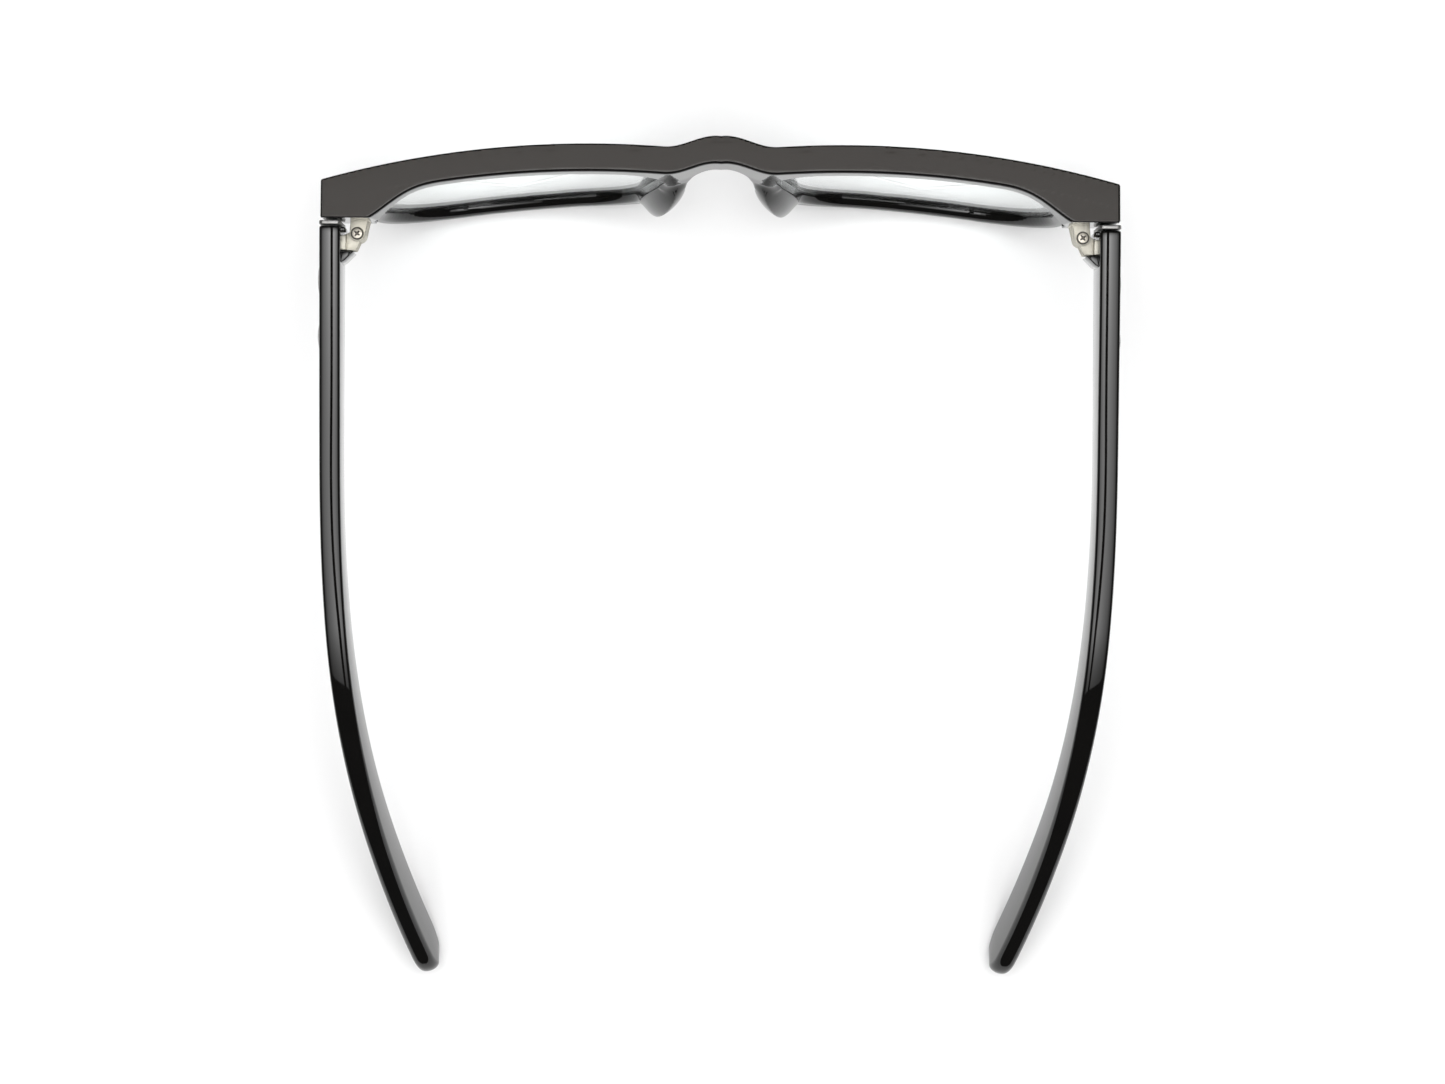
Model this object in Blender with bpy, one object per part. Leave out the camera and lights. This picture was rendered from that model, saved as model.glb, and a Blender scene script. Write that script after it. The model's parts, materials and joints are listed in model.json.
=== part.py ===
"""Eyeglasses: an acetate front and two folding temples, with lenses, nose pads and barrel hinges.

The front faces -Y, the temple tips point to +Y, +X is the wearer's left and +Z is up.
The glasses stand open on their lower rims and temple tips, on the plane z = 0.
Every size below is in millimetres; meshes are scaled to metres when their objects are made.
"""

import math

import bmesh
import bpy
from mathutils import Matrix, Vector

MM = 0.001
GAP = 0.3

# Front, in its own upright frame: x across, depth rearward from the bridge's peak, height up.
FRONT_TILT = math.radians(5.2)
FRONT_HEIGHT = 45.5
FRONT_HALF_WIDTH = 72.7
RIM_DEPTH = 5.15
LOWER_RIM_DEPTH = 4.65
FACE_RADIUS = 179.0
FACE_APEX_X = 23.1
FACE_APEX_DEPTH = 1.35
BRIDGE_RISE = 3.0
BRIDGE_HALF_WIDTH = 10.5
BRIDGE_UNDERSIDE = 38.2
ENDPIECE_START_X = 48.0
ENDPIECE_FULL_X = 67.0
ENDPIECE_CURVE_POWER = 2.5
ENDPIECE_RUN_IN = 3.4
ENDPIECE_DEPTH = 16.4
ENDPIECE_BOTTOM = 30.0
GROUND_BITE = 0.35

# Lens opening, lens and groove.
LENS_THICKNESS = 1.9
LENS_INSET = 1.4
LENS_LIP = 1.0

# Nose pads.
PAD_HALF_WIDTH = 2.3
PAD_HALF_LENGTH = 8.8
PAD_HALF_DEPTH = 4.4
PAD_X = 10.4
PAD_HEIGHT = 21.0
PAD_SLOPE = math.radians(14.0)

# Hinge: a vertical axis behind each endpiece, five stacked knuckle plates.
HINGE_X = 66.0
HINGE_HEIGHT = 37.6
BRIDGE_TO_HINGE = 17.7
ENDPIECE_TO_HINGE = 2.5
KNUCKLE_COUNT = 5
KNUCKLE_THICKNESS = 1.3
BARREL_RADIUS = 1.4
BORE_RADIUS = 0.85
SCREW_RADIUS = 0.55
SCREW_HEAD_RADIUS = 1.0
SCREW_HEAD_HEIGHT = 0.5
ANCHOR_DEPTH = 2.6
LEAF_PLATE = 0.5

# Temple, measured rearward from the hinge axis.
TEMPLE_THICKNESS = 3.8
TEMPLE_OUTSIDE = 72.7
TEMPLE_START = -1.15
TEMPLE_SLOPE = math.radians(2.4)
TEMPLE_CENTRE_Z = 37.8
BEND_START = 72.0
BEND_RADIUS = 70.0
BEND_SLOPE = math.radians(35.0)
BOW_START = 36.0
BOW_REACH = 95.0
BOW_DROP = 15.0
BOW_POWER = 2.5
FRONT_END_HEIGHT = 13.6
WAIST_HEIGHT = 9.6
PADDLE_HEIGHT = 11.6
TIP_ROLL = math.radians(12.0)
EDGE_RADIUS = 0.9
TIP_CLEARANCE = 0.1
CHANNEL_RADIUS = 0.92
CORE_RADIUS = 0.55
CORE_START = 4.2
CORE_END = 116.0

# Temple trim.
END_PLATE_THICKNESS = 0.75
END_PLATE_PROUD = 0.05
STUD_HEIGHT = 0.7
STUD_PIN_RADIUS = 0.6
STUD_PIN_LENGTH = 0.7
FRONT_STUD_AT = 8.3
FRONT_STUD_LENGTH = 6.4
FRONT_STUD_WIDTH = 3.4
REAR_STUD_AT = 18.5
REAR_STUD_LENGTH = 6.9
REAR_STUD_WIDTH = 4.2

INNER_FACE = TEMPLE_OUTSIDE - TEMPLE_THICKNESS - HINGE_X
OUTER_FACE = TEMPLE_OUTSIDE - HINGE_X
HINGE_STACK = KNUCKLE_COUNT * KNUCKLE_THICKNESS + (KNUCKLE_COUNT - 1) * GAP
HINGE_BOTTOM = HINGE_HEIGHT - HINGE_STACK / 2
HINGE_TOP = HINGE_HEIGHT + HINGE_STACK / 2


# ---------------------------------------------------------------- plain geometry

def smoothstep(low, high, value):
    """Ease from 0 at low to 1 at high."""
    t = min(1.0, max(0.0, (value - low) / (high - low)))
    return t * t * (3.0 - 2.0 * t)


def arc(centre, radius, start_deg, end_deg, steps):
    """Points on a circle from one angle to another."""
    points = []
    for index in range(steps + 1):
        angle = math.radians(start_deg + (end_deg - start_deg) * index / steps)
        points.append((centre[0] + radius * math.cos(angle), centre[1] + radius * math.sin(angle)))
    return points


def rounded(corners, steps=6):
    """Turn (x, y, radius) corners of a closed outline into points with round corners."""
    points = []
    for index, (x, y, radius) in enumerate(corners):
        here = Vector((x, y))
        before = Vector(corners[index - 1][:2]) - here
        after = Vector(corners[(index + 1) % len(corners)][:2]) - here
        if radius == 0.0:
            points.append((x, y))
            continue
        half = before.angle(after) / 2
        reach = radius / math.tan(half)
        middle = here + (before.normalized() + after.normalized()).normalized() * radius / math.sin(half)
        start = here + before.normalized() * reach - middle
        end = here + after.normalized() * reach - middle
        sweep = start.angle_signed(end)
        for step in range(steps + 1):
            spoke = start.copy()
            spoke.rotate(Matrix.Rotation(-sweep * step / steps, 2))
            points.append(tuple(middle + spoke))
    return points


def grown(outline, distance):
    """Move a counter-clockwise outline outward by a distance."""
    moved = []
    for index, point in enumerate(outline):
        before = Vector(outline[index - 1])
        after = Vector(outline[(index + 1) % len(outline)])
        along = (after - before).normalized()
        moved.append((point[0] + along.y * distance, point[1] - along.x * distance))
    return moved


def mesh_from(build):
    """Make a mesh from a bmesh filled by build, with its faces turned outward."""
    work = bmesh.new()
    build(work)
    bmesh.ops.recalc_face_normals(work, faces=work.faces)
    mesh = bpy.data.meshes.new("solid")
    work.to_mesh(mesh)
    work.free()
    return mesh


def loft(rings):
    """Closed solid through a list of rings with equal numbers of points."""
    def build(work):
        loops = []
        for ring in rings:
            loops.append([work.verts.new(point) for point in ring])
        for first, second in zip(loops, loops[1:]):
            for index in range(len(first)):
                following = (index + 1) % len(first)
                work.faces.new((first[index], first[following], second[following], second[index]))
        work.faces.new(loops[0])
        work.faces.new(loops[-1])
    return mesh_from(build)


def upright(outline, low, high):
    """Prism of an (x, y) outline from z = low to z = high."""
    return loft([[(x, y, z) for x, y in outline] for z in (low, high)])


def facing(outline, near, far):
    """Prism of an (x, z) outline from y = near to y = far."""
    return loft([[(x, y, z) for x, z in outline] for y in (near, far)])


def block(low, high):
    """Box between two corners."""
    corners = [(low[0], low[1]), (high[0], low[1]), (high[0], high[1]), (low[0], high[1])]
    return upright(corners, low[2], high[2])


def combine(base, tool, operation):
    """Exact Boolean of two meshes."""
    first = bpy.data.objects.new("base", base)
    second = bpy.data.objects.new("tool", tool)
    for item in (first, second):
        bpy.context.scene.collection.objects.link(item)
    modifier = first.modifiers.new("combine", "BOOLEAN")
    modifier.operation = operation
    modifier.solver = "EXACT"
    modifier.object = second
    graph = bpy.context.evaluated_depsgraph_get()
    result = bpy.data.meshes.new_from_object(first.evaluated_get(graph))
    for item in (first, second):
        bpy.data.objects.remove(item)
    return result


def join(base, *tools):
    """Union of several meshes."""
    for tool in tools:
        base = combine(base, tool, "UNION")
    return base


def cut(base, *tools):
    """Base with several meshes taken away."""
    for tool in tools:
        base = combine(base, tool, "DIFFERENCE")
    return base


def mirrored(mesh):
    """Copy of a mesh reflected from the left side to the right side."""
    copy = mesh.copy()
    copy.transform(Matrix.Scale(-1, 4, (1, 0, 0)))
    copy.flip_normals()
    return copy


# ---------------------------------------------------------------- front

def base_curve(x):
    """Depth of the face and the lens along each eye's base curve."""
    offset = abs(x) - FACE_APEX_X
    return FACE_APEX_DEPTH + FACE_RADIUS - math.sqrt(FACE_RADIUS ** 2 - offset ** 2)


def face_depth(x, _height=0.0):
    """Depth of the front's face: the base curves and a raised bridge."""
    if abs(x) >= BRIDGE_HALF_WIDTH:
        return base_curve(x)
    return base_curve(x) - BRIDGE_RISE * math.cos(math.pi * x / (2 * BRIDGE_HALF_WIDTH)) ** 2


def rim_depth(x, height):
    """Depth of the rims' rear, which are slimmer at the bottom than at the brow."""
    share = height / FRONT_HEIGHT
    return face_depth(x) + LOWER_RIM_DEPTH + (RIM_DEPTH - LOWER_RIM_DEPTH) * share


def endpiece_depth(x, height):
    """Depth of the rear of the endpieces, which grows out of the rim in an S curve."""
    rim = rim_depth(x, height)
    share = smoothstep(ENDPIECE_START_X, ENDPIECE_FULL_X, abs(x)) ** ENDPIECE_CURVE_POWER
    return rim + (ENDPIECE_DEPTH - rim) * share


def spread(low, high, count):
    """Evenly spaced values."""
    return [low + (high - low) * index / count for index in range(count + 1)]


def band(stations, near, far, low, high):
    """Solid between two depth curves of (x, height), from one height to another."""
    rings = []
    for height in (low, high):
        ring = [(x, near(x, height), height) for x in stations]
        ring += [(x, far(x, height), height) for x in reversed(stations)]
        rings.append(ring)
    return loft(rings)


def lens_outline():
    """Soft square lens opening on the left, counter-clockwise in (x, height)."""
    return rounded([
        (16.9, 9.0, 11.0),
        (38.0, 3.2, 24.0),
        (61.3, 3.2, 14.5),
        (63.7, 41.5, 7.0),
        (7.7, 41.5, 8.0),
    ], steps=7)


def front_outline():
    """Silhouette of the whole front in (x, height)."""
    half = rounded([
        (0.0, BRIDGE_UNDERSIDE, 0.0),
        (3.9, BRIDGE_UNDERSIDE, 5.0),
        (13.0, 6.5, 12.0),
        (37.0, -GROUND_BITE, 26.0),
        (63.8, -GROUND_BITE, 17.0),
        (66.8, ENDPIECE_BOTTOM, 3.0),
        (FRONT_HALF_WIDTH - 0.5, ENDPIECE_BOTTOM, 1.5),
        (FRONT_HALF_WIDTH, FRONT_HEIGHT, 1.2),
        (0.0, FRONT_HEIGHT, 0.0),
    ])
    left = half[1:-1]
    right = [(-x, height) for x, height in reversed(left)]
    return [half[0]] + left + [half[-1]] + right


def front_to_world(hinge_y):
    """Placement of the front: leaning forward at the top, with the hinges behind the bridge."""
    lean = FRONT_HEIGHT * math.sin(FRONT_TILT)
    shift = Matrix.Translation((0, hinge_y - BRIDGE_TO_HINGE + lean, 0))
    return shift @ Matrix.Rotation(FRONT_TILT, 4, "X")


def leaf_pocket(grow):
    """Box that anchors a front leaf in the left endpiece, grown on every buried side."""
    rear = -ENDPIECE_TO_HINGE
    low = (-2.1 - grow, rear - ANCHOR_DEPTH - grow, HINGE_BOTTOM - grow)
    high = (1.2 + grow, rear + 4 * grow, HINGE_TOP + grow)
    return block(low, high)


def make_front(hinge_y):
    """Front with lens openings, lens grooves, hinge pockets and flats on the lower rims."""
    across = spread(-74.0, -12.0, 20) + spread(-10.5, 10.5, 14) + spread(12.0, 74.0, 20)
    body = band(across, face_depth, rim_depth, -3.0, 50.0)
    for side in (-1, 1):
        stations = [side * x for x in spread(ENDPIECE_START_X + ENDPIECE_RUN_IN, 74.0, 18)]
        lump = band(stations, lambda x, _: face_depth(x) + 2.0, endpiece_depth, ENDPIECE_BOTTOM, 51.0)
        body = join(body, lump)
    body = combine(body, facing(front_outline(), -5.0, 25.0), "INTERSECT")

    opening = facing(lens_outline(), -4.0, 20.0)
    body = cut(body, opening, mirrored(opening))
    groove = make_lens(GAP)
    body = cut(body, groove, mirrored(groove))

    to_local = front_to_world(hinge_y).inverted()
    rear = hinge_y - ENDPIECE_TO_HINGE
    mitre = block((-80.0, rear, 26.0), (80.0, rear + 12.0, 60.0))
    ground = block((-80.0, hinge_y - 40.0, -9.0), (80.0, hinge_y + 20.0, 0.0))
    pocket = leaf_pocket(GAP)
    pocket.transform(Matrix.Translation((HINGE_X, hinge_y, 0)))
    for tool in (mitre, ground, pocket, mirrored(pocket)):
        tool.transform(to_local)
        body = cut(body, tool)
    return body


def make_lens(grow):
    """Lens that follows the face's base curve, or its groove when grown."""
    stations = spread(6.0, 67.0, 20)
    near = LENS_INSET - grow
    far = LENS_INSET + LENS_THICKNESS + grow
    shell = band(stations, lambda x, _: base_curve(x) + near, lambda x, _: base_curve(x) + far, -4.0, 48.0)
    return combine(shell, facing(grown(lens_outline(), LENS_LIP + grow), -5.0, 20.0), "INTERSECT")


def make_nose_pad():
    """Half of a long ellipsoid, flat where it is bonded to the rear of the nasal rim."""
    base = rim_depth(PAD_X, PAD_HEIGHT)

    def build(work):
        bmesh.ops.create_uvsphere(work, u_segments=20, v_segments=12, radius=1.0)
        scale = Matrix.Diagonal((PAD_HALF_WIDTH, PAD_HALF_DEPTH, PAD_HALF_LENGTH, 1.0))
        turn = Matrix.Rotation(-PAD_SLOPE, 4, "Y")
        place = Matrix.Translation((PAD_X, base, PAD_HEIGHT))
        bmesh.ops.transform(work, matrix=place @ turn @ scale, verts=work.verts)
        everything = work.verts[:] + work.edges[:] + work.faces[:]
        bmesh.ops.bisect_plane(work, geom=everything, plane_co=(0, base + 1.5 * GAP, 0),
                               plane_no=(0, 1, 0), clear_inner=True)
        edge = [item for item in work.edges if item.is_boundary]
        bmesh.ops.holes_fill(work, edges=edge)
    return mesh_from(build)


# ---------------------------------------------------------------- temple

def temple_path():
    """Centreline of the left temple: (along, position, slope) from the front end to the tip."""
    drop = BEND_START * math.sin(TEMPLE_SLOPE)
    bend_z = TEMPLE_CENTRE_Z - drop
    bend_s = BEND_START * math.cos(TEMPLE_SLOPE)
    bend_length = BEND_RADIUS * (BEND_SLOPE - TEMPLE_SLOPE)
    end_s = bend_s + BEND_RADIUS * (math.sin(BEND_SLOPE) - math.sin(TEMPLE_SLOPE))
    end_z = bend_z - BEND_RADIUS * (math.cos(TEMPLE_SLOPE) - math.cos(BEND_SLOPE))
    tip_radius = PADDLE_HEIGHT / 2
    tip_z = EDGE_RADIUS + (tip_radius - EDGE_RADIUS) * math.cos(TIP_ROLL) + TIP_CLEARANCE
    tip_z += (TEMPLE_THICKNESS / 2 - EDGE_RADIUS) * math.sin(TIP_ROLL)
    last_run = (end_z - tip_z) / math.sin(BEND_SLOPE)
    tip_centre = BEND_START + bend_length + last_run

    def at(along):
        if along <= BEND_START:
            slope = TEMPLE_SLOPE
            s = along * math.cos(slope)
            z = TEMPLE_CENTRE_Z - along * math.sin(slope)
        elif along <= BEND_START + bend_length:
            slope = TEMPLE_SLOPE + (along - BEND_START) / BEND_RADIUS
            s = bend_s + BEND_RADIUS * (math.sin(slope) - math.sin(TEMPLE_SLOPE))
            z = bend_z - BEND_RADIUS * (math.cos(TEMPLE_SLOPE) - math.cos(slope))
        else:
            slope = BEND_SLOPE
            run = along - BEND_START - bend_length
            s = end_s + run * math.cos(slope)
            z = end_z - run * math.sin(slope)
        return s, z, slope

    return at, tip_centre, tip_radius


def outside_x(s):
    """Distance of the temple's outer face from the hinge axis, s behind the axis."""
    bow = max(0.0, (s - BOW_START) / BOW_REACH)
    return OUTER_FACE - BOW_DROP * bow ** BOW_POWER


def section_frame(along):
    """Centre, thickness direction and height direction of a section of the left temple."""
    at, tip_centre, _ = temple_path()
    s, z, slope = at(along)
    lean = (outside_x(s + 0.5) - outside_x(s - 0.5))
    yaw = math.atan(lean)
    outward = Vector((math.cos(yaw), -math.sin(yaw), 0.0))
    pitch = slope - TEMPLE_SLOPE
    up = Vector((lean * math.sin(pitch), math.sin(pitch), math.cos(pitch))).normalized()
    roll = TIP_ROLL * smoothstep(BOW_START, tip_centre, along)
    turn = Matrix.Rotation(roll, 3, up.cross(outward))
    centre = Vector((outside_x(s), s, z)) - outward * TEMPLE_THICKNESS / 2
    return centre, turn @ outward, turn @ up


def section_height(along, tip_centre, tip_radius):
    """Height of the temple: deep at the hinge, slim at the bend, and a round paddle at the tip."""
    height = FRONT_END_HEIGHT + (WAIST_HEIGHT - FRONT_END_HEIGHT) * smoothstep(0.0, BEND_START, along)
    height += (PADDLE_HEIGHT - WAIST_HEIGHT) * smoothstep(BEND_START + 20.0, tip_centre, along)
    if along > tip_centre:
        height *= math.sqrt(max(0.0, 1.0 - ((along - tip_centre) / tip_radius) ** 2))
    return height


def swept(stations, shape):
    """Loft along the temple; shape(along) gives (across, up) points of a section."""
    rings = []
    for along in stations:
        centre, outward, up = section_frame(along)
        rings.append([tuple(centre + outward * a + up * b) for a, b in shape(along)])
    return loft(rings)


def temple_reach():
    """Distance from the hinge axis back to the end of the tip."""
    at, tip_centre, tip_radius = temple_path()
    s, _, _ = at(tip_centre)
    lean = outside_x(s + 0.5) - outside_x(s - 0.5)
    return s + tip_radius * math.cos(math.atan(lean))


def make_temple():
    """Left temple about its hinge axis, with its core channel, lip, ramp, pocket and stud holes."""
    _, tip_centre, tip_radius = temple_path()

    def outer(along):
        height = section_height(along, tip_centre, tip_radius)
        ending = max(0.0, (along - tip_centre - tip_radius + TEMPLE_THICKNESS / 2) / (TEMPLE_THICKNESS / 2))
        width = TEMPLE_THICKNESS * math.sqrt(1.0 - ending ** 2)
        radius = min(EDGE_RADIUS, 0.45 * width, 0.45 * height)
        a = width / 2
        b = height / 2
        return rounded([(-a, -b, radius), (a, -b, radius), (a, b, radius), (-a, b, radius)], steps=3)

    def channel(_):
        return arc((0.0, 0.0), CHANNEL_RADIUS, 0.0, 315.0, 7)

    stations = [TEMPLE_START] + spread(6.0, BEND_START, 12)
    stations += spread(BEND_START + 3.5, tip_centre, 13)
    stations += [tip_centre + tip_radius * math.sin(math.radians(angle)) for angle in (20, 40, 55, 68, 80)]
    body = swept(stations, outer)
    body = cut(body, swept([TEMPLE_START - 1.0] + spread(6.0, CORE_END + 1.0, 14), channel))

    low = HINGE_BOTTOM - 2 * GAP
    high = HINGE_TOP + 2 * GAP
    buried = INNER_FACE + 0.5
    lip = block((INNER_FACE - 0.9, TEMPLE_START, low), (buried, -0.35, high))
    ramp_start = 3.3
    ramp = upright([(buried, ramp_start), (0.6, ramp_start), (1.4, ramp_start + 0.8),
                    (2.2, ramp_start + 1.6), (buried, ramp_start + 2.4)], low, high)
    body = join(body, lip, ramp)
    pocket = block((INNER_FACE - 0.5, 0.7, HINGE_HEIGHT - 2.3), (INNER_FACE + 1.3, 2.7, HINGE_HEIGHT + 2.3))
    body = cut(body, pocket)
    for place in (FRONT_STUD_AT, REAR_STUD_AT):
        hole = arc((0.0, 0.0), STUD_PIN_RADIUS + GAP, 0.0, 330.0, 11)
        centre = stud_centre(place)
        drill = loft([[(x, centre.y + s, centre.z + z) for s, z in hole]
                      for x in (OUTER_FACE - STUD_PIN_LENGTH - 2 * GAP, OUTER_FACE + 1.0)])
        body = cut(body, drill)
    return body


def make_core_wire():
    """Stiffening wire that follows the left temple's centreline."""
    ring = arc((0.0, 0.0), CORE_RADIUS, 0.0, 300.0, 5)
    return swept(spread(CORE_START, CORE_END, 15), lambda along: ring)


def make_end_plate():
    """Metal strip on the left temple's front end."""
    front = TEMPLE_START - GAP - END_PLATE_THICKNESS
    half = FRONT_END_HEIGHT / 2 + 0.1
    low = (INNER_FACE, front, TEMPLE_CENTRE_Z - half)
    high = (OUTER_FACE + END_PLATE_PROUD, front + END_PLATE_THICKNESS, TEMPLE_CENTRE_Z + half)
    return block(low, high)


def stud_centre(place):
    """Point on the left temple's outer face where a stud is centred."""
    centre, outward, _ = section_frame(place)
    return centre + outward * TEMPLE_THICKNESS / 2


def make_stud(place, length, width, tiers):
    """Ornament of stacked outlines (scale, lift) on the outer face, with a pin into the temple."""
    centre = stud_centre(place)
    count = 20

    def ring(scale, lift, pointed):
        points = []
        for index in range(count):
            angle = 2 * math.pi * index / count
            a = math.cos(angle)
            b = math.sin(angle)
            reach = 1.0 / (abs(a) + abs(b)) if pointed else 1.0
            points.append((centre.x + GAP + lift, centre.y + scale * reach * a * length / 2,
                           centre.z + scale * reach * b * width / 2))
        return points

    head = loft([ring(scale, lift, pointed) for scale, lift, pointed in tiers])
    pin = [(centre.y + s, centre.z + z) for s, z in arc((0.0, 0.0), STUD_PIN_RADIUS, 0.0, 315.0, 7)]
    shaft = loft([[(x, s, z) for s, z in pin]
                  for x in (centre.x - STUD_PIN_LENGTH, centre.x + GAP + 0.2)])
    return join(head, shaft)


def make_front_stud():
    """Oval domed stud."""
    rise = STUD_HEIGHT - GAP
    tiers = [(1.0, 0.0, False), (0.97, 0.4 * rise, False), (0.8, 0.8 * rise, False), (0.45, rise, False)]
    return make_stud(FRONT_STUD_AT, FRONT_STUD_LENGTH, FRONT_STUD_WIDTH, tiers)


def make_rear_stud():
    """Low lozenge-shaped stud."""
    rise = STUD_HEIGHT - GAP
    tiers = [(1.0, 0.0, True), (0.95, 0.4 * rise, True), (0.25, rise, True)]
    return make_stud(REAR_STUD_AT, REAR_STUD_LENGTH, REAR_STUD_WIDTH, tiers)


# ---------------------------------------------------------------- hinge

def knuckle_levels(first):
    """Bottom and top of every second knuckle plate, starting at the given one."""
    pitch = KNUCKLE_THICKNESS + GAP
    return [(HINGE_BOTTOM + index * pitch, HINGE_BOTTOM + index * pitch + KNUCKLE_THICKNESS)
            for index in range(first, KNUCKLE_COUNT, 2)]


def drilled(body, low, high):
    """Body with the screw's bore along the hinge axis."""
    return cut(body, upright(arc((0.0, 0.0), BORE_RADIUS, 0.0, 337.5, 15), low - 1.0, high + 1.0))


def make_front_leaf():
    """Left front leaf: a block anchored in the endpiece and three knuckle plates."""
    rear = -ENDPIECE_TO_HINGE
    outline = [(1.2, rear - 0.5), (-2.1, rear - 0.5)] + arc((0.0, 0.0), BARREL_RADIUS, -185.0, -365.0, 12)
    plates = [upright(outline, low, high) for low, high in knuckle_levels(0)]
    low = (-2.1, rear - ANCHOR_DEPTH, HINGE_BOTTOM - 0.02)
    high = (1.2, rear - 0.2, HINGE_TOP + 0.02)
    return drilled(join(block(low, high), *plates), HINGE_BOTTOM, HINGE_TOP)


def make_temple_leaf():
    """Left temple leaf: a plate on the temple's inner face, a buried tongue and two knuckle plates."""
    near = INNER_FACE - GAP - LEAF_PLATE
    far = INNER_FACE - GAP
    outline = [(far - 0.1, 3.0), (0.3, 3.0)] + arc((0.0, 0.0), BARREL_RADIUS, 110.0, 345.0, 14)
    outline += [(far - 0.1, 0.3)]
    plates = [upright(outline, low, high) for low, high in knuckle_levels(1)]
    plate = block((near, 0.3, HINGE_BOTTOM), (far, 3.0, HINGE_TOP))
    tongue = block((near + 0.1, 1.0, HINGE_HEIGHT - 2.0), (INNER_FACE + 0.9, 2.4, HINGE_HEIGHT + 2.0))
    return drilled(join(plate, tongue, *plates), HINGE_BOTTOM, HINGE_TOP)


def make_screw():
    """Hinge screw: a head above the top knuckle and a shank through all five."""
    shank = upright(arc((0.0, 0.0), SCREW_RADIUS, 0.0, 330.0, 11), HINGE_BOTTOM - 0.4, HINGE_TOP + GAP + 0.2)
    head = upright(arc((0.0, 0.0), SCREW_HEAD_RADIUS, 0.0, 345.0, 23), HINGE_TOP + GAP,
                   HINGE_TOP + GAP + SCREW_HEAD_HEIGHT)
    return join(head, shank)


# ---------------------------------------------------------------- assembly

def finish_of(name, colour, roughness, metallic=0.0, alpha=1.0):
    """Principled material of one sub-part."""
    material = bpy.data.materials.new(name)
    material.use_nodes = True
    shader = material.node_tree.nodes["Principled BSDF"]
    shader.inputs["Base Color"].default_value = (*colour, 1.0)
    shader.inputs["Roughness"].default_value = roughness
    shader.inputs["Metallic"].default_value = metallic
    shader.inputs["Alpha"].default_value = alpha
    return material


BLACK = ((0.012, 0.011, 0.010), 0.28, 0.0)
GOLD = ((0.72, 0.68, 0.55), 0.3, 1.0)
SILVER = ((0.62, 0.61, 0.58), 0.3, 1.0)
STEEL = ((0.55, 0.55, 0.55), 0.4, 1.0)
CLEAR = ((0.86, 0.93, 0.93), 0.05, 0.0, 0.35)


def place(name, mesh, look, parent):
    """Make the named object of one sub-part under its parent empty."""
    copy = mesh.copy()
    copy.transform(Matrix.Scale(MM, 4))
    copy.materials.clear()
    copy.materials.append(finish_of(name, *look))
    copy.shade_smooth()
    copy.set_sharp_from_angle(angle=math.radians(32))
    item = bpy.data.objects.new(name, copy)
    bpy.context.scene.collection.objects.link(item)
    item.parent = parent
    return item


def empty(name, matrix):
    """Guide empty that carries a group of sub-parts."""
    guide = bpy.data.objects.new(name, None)
    bpy.context.scene.collection.objects.link(guide)
    location = matrix.to_translation() * MM
    guide.matrix_world = Matrix.Translation(location) @ matrix.to_3x3().to_4x4()
    return guide


def main():
    for item in list(bpy.data.objects):
        bpy.data.objects.remove(item)

    hinge_y = (BRIDGE_TO_HINGE - temple_reach()) / 2
    front_guide = empty("front_guide", front_to_world(hinge_y))
    place("front", make_front(hinge_y), BLACK, front_guide)

    on_front = (("lens", make_lens(0.0), CLEAR), ("nose_pad", make_nose_pad(), BLACK))
    on_hinge = (
        ("temple", make_temple(), BLACK),
        ("core_wire", make_core_wire(), STEEL),
        ("front_leaf", make_front_leaf(), GOLD),
        ("temple_leaf", make_temple_leaf(), GOLD),
        ("hinge_screw", make_screw(), STEEL),
        ("end_plate", make_end_plate(), SILVER),
        ("front_stud", make_front_stud(), SILVER),
        ("rear_stud", make_rear_stud(), SILVER),
    )
    for side, sign in (("left", 1), ("right", -1)):
        hinge_guide = empty(side + "_hinge_guide", Matrix.Translation((sign * HINGE_X, hinge_y, 0)))
        for pieces, guide in ((on_front, front_guide), (on_hinge, hinge_guide)):
            for name, mesh, look in pieces:
                shape = mesh if sign > 0 else mirrored(mesh)
                place(side + "_" + name, shape, look, guide)
    bpy.context.view_layer.update()


main()
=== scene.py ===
"""Looks of the eyeglasses: polished acetate, lenses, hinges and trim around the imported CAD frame.

The front faces -Y, the temple tips point to +Y, +X is the wearer's left and +Z is up.
Sizes are in millimetres, and every piece is scaled to metres when it is made.
"""

import itertools
import json
import math

import bmesh
import bpy
import numpy as np
from mathutils import Matrix, Vector


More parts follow.
